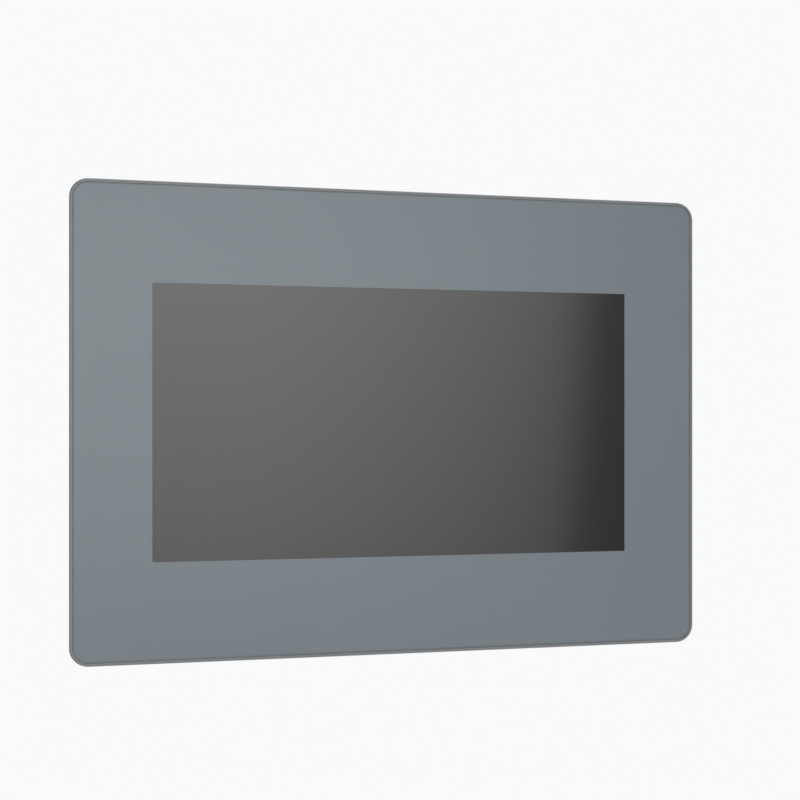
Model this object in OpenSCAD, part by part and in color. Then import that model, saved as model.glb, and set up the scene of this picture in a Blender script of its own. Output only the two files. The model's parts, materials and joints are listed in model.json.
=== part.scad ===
// Panel-mount operator terminal with a 7-inch wide touch display.
// X runs along the width, Y from the front to the back, Z up, in millimetres.
// The origin is the middle of the panel cut-out, in the plane of the bezel's rear face.

/* [Front] */
// Width of the front bezel
bezel_w = 203.5; // [202:0.5:210]
// Height of the front bezel
bezel_h = 148.7; // [148:0.1:154]
// Thickness of the bezel in front of the cabinet panel
bezel_t = 6.5; // [6.3:0.1:7]
// Outer radius of the bezel's corners
corner_r = 5.8; // [4.5:0.1:7]
// Radius along the bezel's front edge
edge_r = 0.8; // [0.4:0.1:0.9]
// Distance from the bezel's edge to the overlay film
overlay_inset = 1.5; // [1.3:0.05:1.7]
// Thickness of the overlay film
overlay_t = 0.35; // [0.2:0.05:0.4]

/* [Display] */
// Width of the viewing window
window_w = 154.1; // [150:0.1:155]
// Height of the viewing window
window_h = 85.9; // [84:0.1:87]
// Width of the display module
lcd_w = 164.9; // [164:0.1:165]
// Height of the display module
lcd_h = 100; // [99:0.1:100]
// Thickness of the touch sensor
touch_t = 2; // [1.8:0.1:2]

/* [Housing] */
// Width of the housing behind the bezel
housing_w = 190.6; // [190:0.1:191]
// Height of the housing behind the bezel
housing_h = 135.9; // [135.5:0.1:136]
// Depth of the housing behind the bezel
housing_d = 31; // [31:0.5:34]
// Wall thickness of the housing
wall = 2.2; // [2:0.1:2.2]

/* [Clamps] */
// Distance of each clamp from the middle
clamp_x = 74; // [73.5:0.5:75]
// Distance from the bezel's rear face to the tip of a clamp's foot
clamp_gap = 6.3; // [6.1:0.1:6.5]

/* [Ports] */
// Middle of the power terminal
power_x = -52; // [-53:1:-51]
// Middle of the network socket
network_x = -27; // [-28:1:-26]
// Middle of the serial socket
serial_x = -8; // [-9:1:-7]
// Middle of the USB host port
host_x = 11; // [10:1:12]
// Middle of the USB device port
device_x = 25; // [25:1:26]
// Middle of the nine-pin port
ninepin_x = 48; // [48:1:49]

/* [Hidden] */
$fn = 64;
eps = 0.1;
running = 0.1;

// Depths of the layers behind the front, from front to back
rim_y = -bezel_t;
film_front_y = rim_y + 0.1;
film_back_y = film_front_y + overlay_t;
touch_back_y = film_back_y + touch_t;
lcd_front_y = touch_back_y + 0.8;
lcd_t = 5.7;
lcd_back_y = lcd_front_y + lcd_t;
bracket_front_y = lcd_back_y + 0.3;
bracket_back_y = bracket_front_y + 1;
core_y = film_back_y + 2.25;
collar_end_y = 5;
board_front_y = 9;
board_t = 1.6;
board_y = board_front_y + board_t;
inner_y = housing_d - wall;
flex_t = 0.2;
flex_end_y = 7.8;
connector_y = flex_end_y - flex_t;

// Bezel
rim_w = 1.05;
opening_w = lcd_w + 0.7;
opening_h = lcd_h + 1.4;
opening_wall = 2.2;
cavity_w = housing_w - 2*wall;
cavity_h = housing_h - 2*wall;
cavity_r = 2.8;
collar_w = cavity_w - 0.4;
collar_h = cavity_h - 0.4;
collar_t = 1.6;
seal_w = 3;
seal_inset = 2.1;
seal_depth = 1.5;
seal_proud = 1.05;

// Posts and screws that join the rear cover to the bezel
post_x = 86.5;
post_z = 59.5;
post_end_y = 14.2;
post_r = 3.4;
thread_r = 1.45;
screw_seat_y = 17;
recess_r = 3;

// Bracket and main board
boss_xs = [-62, 0, 62];
boss_z = 58.5;
boss_r = 3;
tab_w = 12;
bracket_w = 170;
bracket_h = 108;
small_thread_r = 1.2;
small_head_r = 2.2;
small_head_h = 1.5;
standoff_flats = 5;
standoffs = [[-76, -48], [76, -48], [0, -32], [-76, 46], [0, 46], [76, 46]];
board_x0 = -91;
board_x1 = 84;
board_z0 = -55;
board_z1 = 53;

// Flexes, from the display module to the board's front face
lcd_flex_w = 32;
lcd_flex_z0 = -28;
lcd_flex_z1 = -6;
lcd_connector_z0 = -17;
lcd_connector_z1 = -11;
touch_flex_x0 = 30;
touch_flex_x1 = 48;
touch_connector_z0 = 41;
touch_connector_z1 = 45;

// Parts on the board's rear face. Each chip is [middle x, middle z, width, height, thickness]
chips = [
  [28, 2, 21, 21, 1.6], [2, -10, 13, 11, 1.2], [2, 6, 13, 11, 1.2], [58, 12, 12, 18, 1.2],
  [58, -14, 14, 14, 1.4], [-27, -24, 10, 10, 1.2], [-8, -22, 8, 10, 1.4], [-30, 30, 7, 9, 1.4]
];
large_capacitors = [[-66, -34], [-54, -34], [-42, -34]];
small_capacitors = [[-30, 44], [-20, 44]];
inductors = [[-64, 40], [-47, 40]];
sink_w = 38;
sink_base_t = 2.2;
sink_h = 11;
fin_t = 1.4;
fin_count = 9;

// Coin cell and its holder, under the battery door
cell_z = 12;
cell_r = 10;
cell_h = 3.2;
cell_seat_y = board_y + 1.4;

// Port bay: the wall at bay_z faces down and the ports look through it
bay_x = 66;
bay_y = 10;
bay_wall = 2;
bay_z = 8.45 - housing_h/2;
mouth_z = bay_z - 0.3;

// Clamps: the body sits in a pocket, and its tongue hooks forwards under the pocket's lip
clamp_r = 2;
clamp_z = housing_h/2 + 3.4;
clamp_w = 13;
clamp_y0 = 13.2;
clamp_y1 = 23;
pocket_d = 3.2;
pocket_wall = 1.5;
lip_t = 1.6;
tongue_reach = 2.6;
foot_l = 3.9;
foot_r = 3;
foot_pin_r = 1.3;
foot_bore_d = 2.4;
head_y = 28.2;
head_t = 2.4;
head_r = 3.2;

// Power terminal
pole_pitch = 5.08;
header_w = 20.4;
header_y1 = board_y + 8.8;
header_wall = 1.3;
header_top_z = bay_z + 12;
plug_w = 3*pole_pitch + 0.2;
plug_y0 = board_y + 1.5;
plug_y1 = plug_y0 + 5.8;
plug_tip_z = bay_z + 7.6;
plug_face_z = bay_z - 12;
release_w = 3.2;
release_z = bay_z - 5.2;
release_travel = 1.2;
release_back_y = plug_y1 + 1.6 + release_travel + 0.2;
pin_w = 1;
pin_y = (plug_y0 + plug_y1)/2;
release_front_y = release_back_y - 4;

// Modular sockets and USB ports, standing on the board
modular_h = 13;
modular_d = 18;
network_w = 15.2;
shield_t = 0.4;
shield_d = 21;
serial_w = 15;
serial_h = 12.4;
host_w = 13.2;
host_h = 5.9;
host_d = 14;
host_shell_t = 0.35;
device_w = 12;
device_h = 10.9;
device_d = 16;

// Nine-pin port
ninepin_y = board_y + 6.7;
jack_spacing = 24.99;
jack_r = 1.4;
jack_flats = 4.8;
jack_reach = 5.4;
ninepin_reach = 5.9;
ninepin_pitch = 2.77;
ninepin_flange_z = bay_z + bay_wall;

// Side service openings
card_z = 10;
dip_z = -22;
dip_pitch = 2.54;
dip_face_x = -92.6;
dip_y = board_y + 2.9;
reset_z = -38;
reset_y = board_y + 2.2;
reset_r = 1.1;
card_w = 15;

// Battery door
door_x = -60;
door_z = 14;
door_w = 26;
door_h = 29;
door_t = 1.5;
door_frame_y = 25.6;
hinge_r = 1.5;
hinge_y = housing_d - hinge_r;
hinge_z = door_z + door_h/2 - hinge_r;
hinge_pin_r = 0.8;
hinge_pin_l = 1.4;

// Rear face
label_w = 78;
label_h = 40;
label_x = 8;
label_z = 6;
label_t = 0.3;
vent_w = 2.2;
vent_pitch = 5.2;

// ---- Shared shapes ----

module box(low, high) {
  translate(low) cube(high - low);
}

module rod_x(y, z, r, x0, x1) {
  translate([x0, y, z]) rotate([0, 90, 0]) cylinder(h = x1 - x0, r = r);
}

module rod_y(x, z, r, y0, y1) {
  translate([x, y1, z]) rotate([90, 0, 0]) cylinder(h = y1 - y0, r = r);
}

module rod_z(x, y, r, z0, z1) {
  translate([x, y, z0]) cylinder(h = z1 - z0, r = r);
}

// A hexagonal bar along Y or Z, measured across its flats
module hex_y(x, z, flats, y0, y1) {
  translate([x, y1, z]) rotate([90, 0, 0]) cylinder(h = y1 - y0, r = flats/sqrt(3), $fn = 6);
}

module hex_z(x, y, flats, z0, z1) {
  translate([x, y, z0]) cylinder(h = z1 - z0, r = flats/sqrt(3), $fn = 6);
}

// Turns a flat drawing of X and Z into a plate from y0 to y1
module plate(y0, y1) {
  translate([0, y1, 0]) rotate([90, 0, 0]) linear_extrude(y1 - y0) children();
}

module rounded(w, h, r) {
  square([w - 2*r, h], center = true);
  square([w, h - 2*r], center = true);
  for (x = [-1, 1], z = [-1, 1])
    translate([x*(w/2 - r), z*(h/2 - r)]) circle(r);
}

module slab(w, h, r, y0, y1) {
  plate(y0, y1) rounded(w, h, r);
}

// A frame-shaped plate
module ring(w, h, r, inner_w, inner_h, inner_r, y0, y1) {
  difference() {
    slab(w, h, r, y0, y1);
    slab(inner_w, inner_h, inner_r, y0 - eps, y1 + eps);
  }
}

// A slot with round ends, standing up
module slot(w, h) {
  square([w, h - w], center = true);
  for (z = [-1, 1]) translate([0, z*(h - w)/2]) circle(w/2);
}

// The section of a slab's border: r wide, t deep, with its outer front corner rounded
module border(r, t, edge) {
  translate([-r, 0]) square([r - edge, t]);
  translate([-r, 0]) square([r, t - edge]);
  translate([-edge, t - edge]) circle(edge);
}

// A slab with rounded corners and a rounded front edge
module soft_slab(w, h, r, front_y, back_y, edge) {
  depth = back_y - front_y;
  translate([0, back_y, 0]) for (a = [0:3]) {
    long = a % 2 == 0 ? w : h;
    tall = a % 2 == 0 ? h : w;
    rotate([0, 90*a, 0]) translate([long/2 - r, 0, tall/2 - r]) {
      rotate([90, 0, 0]) rotate_extrude(angle = 90) translate([r, 0]) border(r, depth, edge);
      translate([2*r - long, 0, 0]) rotate(180, [1, 0, 1]) linear_extrude(long - 2*r)
        translate([r, 0]) border(r, depth, edge);
    }
  }
  box([r - w/2, front_y, r - h/2], [w/2 - r, back_y, h/2 - r]);
}

// A pan-head screw along Y: its shank runs forwards from the seat and its head sits behind it
module screw_y(x, z, r, tip_y, seat_y, head, head_h) {
  difference() {
    union() {
      rod_y(x, z, r, tip_y, seat_y + eps);
      rod_y(x, z, head, seat_y, seat_y + head_h);
    }
    for (a = [0, 90])
      translate([x, seat_y + head_h, z]) rotate([0, a, 0]) cube([head, 1.2, 0.6], center = true);
  }
}

// ---- Front ----

module front_bezel() color("#7f868b") {
  difference() {
    union() {
      difference() {
        union() {
          soft_slab(bezel_w, bezel_h, corner_r, rim_y, 0, edge_r);
          slab(collar_w, collar_h, cavity_r - 0.2, -eps, collar_end_y);
        }
        slab(collar_w - 2*collar_t, collar_h - 2*collar_t, 1.2, core_y, collar_end_y + eps);
      }
      slab(opening_w + 2*opening_wall, opening_h + 2*opening_wall, 2, core_y - eps, bracket_front_y);
      for (x = boss_xs, side = [-1, 1]) {
        rod_y(x, side*boss_z, boss_r, core_y - eps, bracket_front_y);
        bezel_rib(x, side);
      }
      for (x = [-post_x, post_x], z = [-post_z, post_z])
        rod_y(x, z, post_r, core_y - eps, post_end_y);
    }
    slab(bezel_w - 2*rim_w, bezel_h - 2*rim_w, corner_r - rim_w, rim_y - eps, film_back_y);
    slab(opening_w, opening_h, 0.8, rim_y, bracket_front_y + eps);
    seal_ring(seal_depth, eps);
    for (x = boss_xs, z = [-boss_z, boss_z])
      rod_y(x, z, small_thread_r, core_y + 0.8, bracket_front_y + eps);
    for (x = [-post_x, post_x], z = [-post_z, post_z])
      rod_y(x, z, thread_r, 2, post_end_y + eps);
  }
}

// A rib that ties a boss to the bezel's collar
module bezel_rib(x, side) {
  low = side > 0 ? boss_z : 1 - collar_h/2;
  box([x - 0.6, core_y - eps, low], [x + 0.6, 1.5, low + collar_h/2 - 1 - boss_z]);
}

module seal_ring(depth, proud) {
  outer_w = bezel_w - 2*seal_inset;
  outer_h = bezel_h - 2*seal_inset;
  ring(outer_w, outer_h, corner_r - seal_inset, outer_w - 2*seal_w, outer_h - 2*seal_w, 0.8,
    -depth, proud);
}

module panel_gasket() color("#23262a") seal_ring(seal_depth, seal_proud);

module front_overlay() color("#7c8488")
  ring(bezel_w - 2*overlay_inset, bezel_h - 2*overlay_inset, corner_r - overlay_inset,
    window_w, window_h, 0.4, film_front_y, film_back_y);

module touch_film() color("#565a5c") slab(window_w, window_h, 0.4, film_front_y, film_back_y);

module touch_sensor() color("#9fb0b3") slab(lcd_w, lcd_h, 0.8, film_back_y, touch_back_y);

module foam_tape() color("#1c1d1f")
  ring(lcd_w, lcd_h, 0.8, window_w + 2, window_h + 2, 0.4, touch_back_y, lcd_front_y);

module touch_flex() color("#b5742a") {
  bend_z = lcd_h/2 + flex_t;
  box([touch_flex_x0, touch_back_y - 1, lcd_h/2], [touch_flex_x1, flex_end_y, bend_z]);
  box([touch_flex_x0, connector_y, touch_connector_z1], [touch_flex_x1, flex_end_y, bend_z]);
}

// ---- Display module ----

module lcd_frame() color("#c3c7c9") difference() {
  slab(lcd_w, lcd_h, 0.8, lcd_front_y, lcd_back_y);
  slab(lcd_w - 1, lcd_h - 1, 0.3, lcd_front_y + 0.5, lcd_back_y + eps);
  slab(window_w + 1.4, window_h + 1.4, 0.3, lcd_front_y - eps, lcd_back_y);
}

module lcd_cell() color("#30353a")
  slab(lcd_w - 1.2, lcd_h - 1.2, 0.2, lcd_front_y + 0.5, lcd_front_y + 1.9);

module light_guide() color("#eef2f4")
  slab(lcd_w - 5, lcd_h - 5, 0.2, lcd_front_y + 1.95, lcd_back_y - 1);

module backlight_tray() color("#e9eaea") difference() {
  slab(lcd_w - 1.2, lcd_h - 1.2, 0.2, lcd_front_y + 1.95, lcd_back_y);
  slab(lcd_w - 4.8, lcd_h - 4.8, 0.2, lcd_front_y, lcd_back_y - 1);
}

module lcd_flex() color("#b5742a") {
  half = lcd_flex_w/2;
  box([-half, lcd_back_y, lcd_flex_z0], [half, lcd_back_y + flex_t, lcd_flex_z1]);
  box([-half, lcd_back_y, lcd_flex_z1 - flex_t], [half, flex_end_y, lcd_flex_z1]);
  box([-half, connector_y, lcd_connector_z1], [half, flex_end_y, lcd_flex_z1]);
}

// ---- Chassis and electronics ----

module display_bracket() color("#b9bdc0") difference() {
  union() {
    slab(bracket_w, bracket_h, 3, bracket_front_y, bracket_back_y);
    for (x = boss_xs) translate([x, 0, 0])
      slab(tab_w, 2*boss_z + 7, 2, bracket_front_y, bracket_back_y);
  }
  for (x = boss_xs, z = [-boss_z, boss_z])
    rod_y(x, z, small_thread_r + 0.2, bracket_front_y - eps, bracket_back_y + eps);
  box([-lcd_flex_w/2 - 2, bracket_front_y - eps, lcd_flex_z1 - 2],
    [lcd_flex_w/2 + 2, bracket_back_y + eps, lcd_flex_z1 + 2]);
  box([touch_flex_x0 - 2, bracket_front_y - eps, lcd_h/2 - 1],
    [touch_flex_x1 + 2, bracket_back_y + eps, lcd_h/2 + 1]);
  for (x = [-50, 50], z = [-26, 24]) translate([x, 0, z])
    slab(44, 26, 4, bracket_front_y - eps, bracket_back_y + eps);
}

module bracket_screws() color("#8f9497")
  for (x = boss_xs, z = [-boss_z, boss_z])
    screw_y(x, z, small_thread_r, core_y + 1, bracket_back_y, small_head_r, small_head_h);

module board_standoffs() color("#c2a14e") for (p = standoffs) difference() {
  hex_y(p.x, p.y, standoff_flats, bracket_back_y, board_front_y);
  rod_y(p.x, p.y, small_thread_r, bracket_back_y + 0.8, board_front_y + eps);
}

module main_board() color("#1f6b43") difference() {
  box([board_x0, board_front_y, board_z0], [board_x1, board_y, board_z1]);
  for (p = standoffs)
    rod_y(p.x, p.y, small_thread_r + 0.2, board_front_y - eps, board_y + eps);
  header_pin_set();
}

module board_screws() color("#8f9497")
  for (p = standoffs)
    screw_y(p.x, p.y, small_thread_r, bracket_back_y + 1.25, board_y, small_head_r, small_head_h);

// A flat block of w by h, t thick, standing on the board's rear face
module chip(x, z, w, h, t) {
  box([x - w/2, board_y, z - h/2], [x + w/2, board_y + t, z + h/2]);
}

module board_chips() color("#26282b")
  for (c = chips) chip(c[0], c[1], c[2], c[3], c[4]);

// The heat sink lies on the first chip
module heat_sink() color("#2d3033") {
  x0 = chips[0][0] - sink_w/2;
  z0 = chips[0][1] - sink_w/2;
  y0 = board_y + chips[0][4];
  box([x0, y0, z0], [x0 + sink_w, y0 + sink_base_t, z0 + sink_w]);
  for (i = [0:fin_count - 1]) {
    x = x0 + i*(sink_w - fin_t)/(fin_count - 1);
    box([x, y0 + sink_base_t - 0.2, z0], [x + fin_t, y0 + sink_h, z0 + sink_w]);
  }
}

module power_parts() color("#3b4149") {
  for (p = large_capacitors) rod_y(p.x, p.y, 4, board_y, board_y + 12);
  for (p = small_capacitors) rod_y(p.x, p.y, 3.15, board_y, board_y + 7.7);
  for (p = inductors) translate([p.x, 0, p.y]) slab(12, 12, 2.5, board_y, board_y + 6.5);
}

// A connector on the board's front face, stepped where its flex goes in
module flex_connector(x0, x1, z0, z1, mouth_z0, mouth_z1) {
  box([x0, connector_y - 0.7, mouth_z0], [x1, connector_y, mouth_z1]);
  box([x0, connector_y, z0], [x1, board_front_y, z1]);
}

module board_connectors() color("#e4ddca") {
  flex_connector(-lcd_flex_w/2 - 2, lcd_flex_w/2 + 2, lcd_connector_z0, lcd_connector_z1,
    lcd_connector_z0, lcd_connector_z1 - 2);
  flex_connector(touch_flex_x0 - 2, touch_flex_x1 + 2, touch_connector_z0, touch_connector_z1,
    touch_connector_z0, touch_connector_z1);
}

module battery_holder() color("#2b2e31") difference() {
  top_y = cell_seat_y + cell_h;
  union() {
    rod_y(door_x, cell_z, cell_r + 1.8, board_y, top_y);
    chip(door_x, cell_z, 28, 7, 2.4);
  }
  rod_y(door_x, cell_z, cell_r + 0.2, cell_seat_y, top_y + eps);
  box([door_x - 4, board_y + 3, cell_z - 18], [door_x + 4, top_y + eps, cell_z - 6]);
}

module coin_cell() color("#d2d5d7") {
  rod_y(door_x, cell_z, cell_r - 1.2, cell_seat_y, cell_seat_y + 0.8);
  rod_y(door_x, cell_z, cell_r, cell_seat_y + 0.6, cell_seat_y + cell_h);
}

// ---- Rear cover ----

// Cuts a pocket for one clamp in the top wall: a mouth, and an undercut in front of it
module clamp_pocket() {
  top = housing_h/2;
  box([-clamp_w/2 - 0.2, clamp_y0 - 0.2, top - pocket_d], [clamp_w/2 + 0.2, clamp_y1, top + eps]);
  box([-clamp_w/2 - 0.2, clamp_y0 - tongue_reach - 0.3, top - pocket_d],
    [clamp_w/2 + 0.2, clamp_y0, top - lip_t]);
}

// The wall round a clamp's pocket
module pocket_block() {
  low = housing_h/2 - pocket_d - pocket_wall;
  box([-clamp_w/2 - 0.2 - pocket_wall, clamp_y0 - tongue_reach - 0.3 - pocket_wall, low],
    [clamp_w/2 + 0.2 + pocket_wall, clamp_y1 + pocket_wall, housing_h/2 - 0.5]);
}

// Repeats one clamp's parts at all four places
module at_clamps() {
  for (n = [1:4]) at_clamp(n) children();
}

// Clamps 1 and 2 are on top, left and right; 3 and 4 are below them
module at_clamp(n) {
  mirror([0, 0, n > 2 ? 1 : 0]) translate([n % 2 == 1 ? -clamp_x : clamp_x, 0, 0]) children();
}

module vent_row(count, h) {
  for (i = [0:count - 1]) translate([(i - (count - 1)/2)*vent_pitch, 0]) slot(vent_w, h);
}

module cover_solid() {
  difference() {
    mirror([0, 1, 0]) soft_slab(housing_w, housing_h, 5, -housing_d, 0, 1.4);
    difference() {
      slab(cavity_w, cavity_h, cavity_r, -eps, inner_y);
      box([-bay_x - bay_wall, bay_y - bay_wall, -housing_h/2],
        [bay_x + bay_wall, housing_d, bay_z + bay_wall]);
      at_clamps() pocket_block();
      for (x = [-post_x, post_x], z = [-post_z, post_z])
        rod_y(x, z, recess_r + 1.4, post_end_y, housing_d);
      translate([door_x, 0, door_z]) slab(door_w + 6, door_h + 4, 1, door_frame_y, housing_d);
    }
  }
}

module rear_cover() color("#3a3e42") difference() {
  cover_solid();
  box([-bay_x, bay_y, -housing_h/2 - eps], [bay_x, housing_d + eps, bay_z]);
  at_clamps() clamp_pocket();
  for (x = [-post_x, post_x], z = [-post_z, post_z]) {
    rod_y(x, z, recess_r, screw_seat_y, housing_d + eps);
    rod_y(x, z, thread_r + 0.2, post_end_y - eps, screw_seat_y + eps);
  }
  port_holes();
  service_holes();
  door_recess();
  translate([label_x, 0, label_z])
    slab(label_w + 0.4, label_h + 0.4, 2, housing_d - label_t, housing_d + eps);
  for (z = [-32, 38, 54])
    translate([label_x, 0, z]) plate(inner_y - eps, housing_d + eps) vent_row(15, 12);
  translate([0, 18.5, 0]) linear_extrude(housing_h) vent_row(19, 13);
}

// Cuts one rectangular port through the bay's wall, 0.2 mm clear of a part w wide and h deep
module port_hole(x, w, h) {
  box([x - w/2 - 0.2, board_y - 0.2, bay_z - eps],
    [x + w/2 + 0.2, board_y + h + 0.2, bay_z + bay_wall + eps]);
}

module port_holes() {
  port_hole(power_x, header_w, header_y1 - board_y);
  port_hole(network_x, network_w + 2*shield_t, modular_h + shield_t);
  port_hole(serial_x, serial_w, serial_h);
  port_hole(host_x, host_w, host_h + 0.5);
  port_hole(device_x, device_w, device_h);
  translate([ninepin_x, ninepin_y, bay_z - eps]) linear_extrude(bay_wall + 2*eps) dee(17.2, 8.9);
  for (side = [-1, 1])
    rod_z(ninepin_x + side*jack_spacing/2, ninepin_y, 1.8, bay_z - eps, bay_z + bay_wall + eps);
}

module service_holes() {
  x0 = -housing_w/2 - eps;
  x1 = -cavity_w/2 + eps;
  box([x0, board_y + 0.1, card_z - 6.5], [x1, board_y + 2.3, card_z + 6.5]);
  box([x0, dip_y - 2.6, dip_z - 6.2], [x1, dip_y + 2.6, dip_z + 6.2]);
  rod_x(reset_y, reset_z, 1.7, x0, x1);
}

module door_recess() {
  low = door_z - door_h/2;
  box([door_x - door_w/2 - 0.2, housing_d - door_t, low - 0.2],
    [door_x + door_w/2 + 0.2, housing_d + eps, hinge_z]);
  box([door_x - door_w/2 - 0.2, hinge_y - hinge_r - 0.4, hinge_z - hinge_r - 0.4],
    [door_x + door_w/2 + 0.2, housing_d + eps, hinge_z + hinge_r + 0.4]);
  rod_x(hinge_y, hinge_z, hinge_pin_r + running, door_x - door_w/2 - hinge_pin_l - 0.3,
    door_x + door_w/2 + hinge_pin_l + 0.3);
  box([door_x - door_w/2 + 2, door_frame_y - eps, low + 2],
    [door_x + door_w/2 - 2, housing_d, hinge_z - hinge_r - 1.6]);
  rod_y(door_x, low - 0.2, 4.5, housing_d - 1, housing_d + eps);
}

module battery_door() color("#3a3e42") difference() {
  low = door_z - door_h/2;
  union() {
    box([door_x - door_w/2, housing_d - door_t, low], [door_x + door_w/2, housing_d, hinge_z]);
    rod_x(hinge_y, hinge_z, hinge_r, door_x - door_w/2, door_x + door_w/2);
    rod_x(hinge_y, hinge_z, hinge_pin_r, door_x - door_w/2 - hinge_pin_l,
      door_x + door_w/2 + hinge_pin_l);
  }
  for (i = [0:3])
    box([door_x - 6, housing_d - 0.4, low + 3 + 2*i], [door_x + 6, housing_d + eps, low + 4 + 2*i]);
}

module rating_label() color("#cfd2d3") translate([label_x, 0, label_z])
  slab(label_w, label_h, 1.8, housing_d - label_t, housing_d - 0.05);

module cover_screws() color("#8f9497")
  for (x = [-post_x, post_x], z = [-post_z, post_z])
    screw_y(x, z, thread_r, 4, screw_seat_y, 2.7, 2);

// ---- Clamps ----

module mounting_clamps() color("#50565b") at_clamps() difference() {
  top = housing_h/2;
  union() {
    box([-clamp_w/2, clamp_y0, top + 0.3], [clamp_w/2, clamp_y1 - 0.2, clamp_z + 3.1]);
    box([-clamp_w/2, clamp_y0, top - pocket_d + 0.2], [clamp_w/2, clamp_y1, top + 0.4]);
    box([-clamp_w/2, clamp_y0 - tongue_reach, top - pocket_d + 0.2],
      [clamp_w/2, clamp_y0 + eps, top - lip_t - 0.1]);
  }
  rod_y(0, clamp_z, clamp_r + running, clamp_y0 - eps, clamp_y1 + eps);
  for (side = [-1, 1]) translate([side*clamp_w/2, (clamp_y0 + clamp_y1)/2, clamp_z + 3.1])
    rotate([0, 45, 0]) cube([2.4, 20, 2.4], center = true);
}

module clamp_screw(n) color("#a9adb0") at_clamp(n) difference() {
  shoulder_y = clamp_gap + foot_l + 0.15;
  union() {
    rod_y(0, clamp_z, foot_pin_r, shoulder_y - foot_bore_d + 0.1, shoulder_y + eps);
    rod_y(0, clamp_z, clamp_r, shoulder_y, head_y + eps);
    rod_y(0, clamp_z, head_r, head_y, head_y + head_t);
  }
  translate([0, head_y + head_t, clamp_z]) cube([2*head_r + 1, 2.2, 0.9], center = true);
}

module clamp_foot(n) color("#24272a") at_clamp(n) difference() {
  rod_y(0, clamp_z, foot_r, clamp_gap, clamp_gap + foot_l);
  rod_y(0, clamp_z, foot_pin_r + running, clamp_gap + foot_l - foot_bore_d, clamp_gap + foot_l + eps);
}

// ---- Ports ----

module power_header() color("#2f7d4f") difference() {
  box([power_x - header_w/2, board_y, bay_z + 0.3], [power_x + header_w/2, header_y1, header_top_z]);
  box([power_x - header_w/2 + header_wall, plug_y0 - 0.25, bay_z - eps],
    [power_x + header_w/2 - header_wall, plug_y1 + 0.25, header_top_z - 1.8]);
  header_pin_set();
}

// The three pins: each hangs in the header's mouth, then turns forwards through the board
module header_pin_set() for (i = [-1:1]) translate([power_x + i*pole_pitch, 0, 0]) {
  half = pin_w/2;
  box([-half, pin_y - half, bay_z + 2.5], [half, pin_y + half, header_top_z - 1]);
  box([-half, board_front_y - 1.4, header_top_z - 1.4], [half, pin_y + half, header_top_z - 0.4]);
}

module header_pins() color("#c9c4b0") header_pin_set();

module terminal_plug() color("#3c9a62") difference() {
  union() {
    box([power_x - plug_w/2, plug_y0, plug_face_z], [power_x + plug_w/2, plug_y1, plug_tip_z]);
    box([power_x - plug_w/2 - 1, plug_y0 - 1, plug_face_z],
      [power_x + plug_w/2 + 1, plug_y1 + 1.6, bay_z - 0.5]);
  }
  for (i = [-1:1]) {
    x = power_x + i*pole_pitch;
    box([x - 0.85, pin_y - 0.85, bay_z - 3], [x + 0.85, pin_y + 0.85, plug_tip_z + eps]);
    box([x - 1.4, pin_y - 1.8, plug_face_z - eps], [x + 1.4, pin_y + 1, plug_face_z + 4.4]);
    box([x - release_w/2 - 0.2, release_front_y - release_travel - 0.2, release_z - release_w/2 - 0.2],
      [x + release_w/2 + 0.2, plug_y1 + 2, release_z + release_w/2 + 0.2]);
  }
}

module plug_release(n) color("#d9772b") {
  x = power_x + (n - 2)*pole_pitch;
  difference() {
    box([x - release_w/2, release_front_y, release_z - release_w/2],
      [x + release_w/2, release_back_y, release_z + release_w/2]);
    box([x - 0.9, release_back_y - 0.6, release_z - 0.4], [x + 0.9, release_back_y + eps, release_z + 0.4]);
  }
}

module network_shield() color("#c6cacb") difference() {
  half = network_w/2;
  box([network_x - half - shield_t, board_y, mouth_z],
    [network_x + half + shield_t, board_y + modular_h + shield_t, mouth_z + shield_d]);
  box([network_x - half, board_y - eps, mouth_z - eps],
    [network_x + half, board_y + modular_h, mouth_z + shield_d - shield_t]);
}

module network_insert() color("#24272a")
  modular_socket(network_x, network_w, modular_h, mouth_z + shield_t);

module serial_socket() color("#34383b") modular_socket(serial_x, serial_w, serial_h, mouth_z);

// A modular socket that opens downwards, with a latch notch towards the board and eight contacts
module modular_socket(x, w, h, low_z) {
  difference() {
    box([x - w/2, board_y, low_z], [x + w/2, board_y + h, low_z + modular_d]);
    box([x - 5.9, board_y + 3.8, low_z - eps], [x + 5.9, board_y + 11, low_z + 13]);
    box([x - 3, board_y + 1.6, low_z - eps], [x + 3, board_y + 4, low_z + 11]);
  }
  for (i = [-3.5:3.5]) translate([x + i*1.02, board_y, low_z])
    box([-0.2, 9.6, 4], [0.2, 11.2, 13.2]);
}

// The hollow inside the USB host port's shell, from a height z0 above its mouth
module host_hollow(z0) {
  inner = host_w/2 - host_shell_t;
  box([host_x - inner, board_y + 0.2 + host_shell_t, mouth_z + z0],
    [host_x + inner, board_y + 0.2 + host_h - host_shell_t, mouth_z + host_d - 0.4]);
}

module usb_host_shell() color("#c6cacb") difference() {
  box([host_x - host_w/2, board_y + 0.2, mouth_z],
    [host_x + host_w/2, board_y + 0.2 + host_h, mouth_z + host_d]);
  host_hollow(-eps);
}

module usb_host_tongue() color("#e8e8e4") {
  box([host_x - 5.5, board_y + 3.5, mouth_z + 1.2], [host_x + 5.5, board_y + 5.3, mouth_z + host_d - 0.4]);
  host_hollow(11);
}

module usb_device_port() color("#c6cacb") {
  difference() {
    box([device_x - device_w/2, board_y, mouth_z],
      [device_x + device_w/2, board_y + device_h, mouth_z + device_d]);
    plate_z(mouth_z - eps, mouth_z + 9) translate([device_x, board_y + device_h/2]) port_dee();
  }
  box([device_x - 2.8, board_y + 3.9, mouth_z + 1], [device_x + 2.8, board_y + 7, mouth_z + 9.1]);
}

// Turns a flat drawing of X and Y into a plate from z0 to z1
module plate_z(z0, z1) {
  translate([0, 0, z0]) linear_extrude(z1 - z0) children();
}

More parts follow.
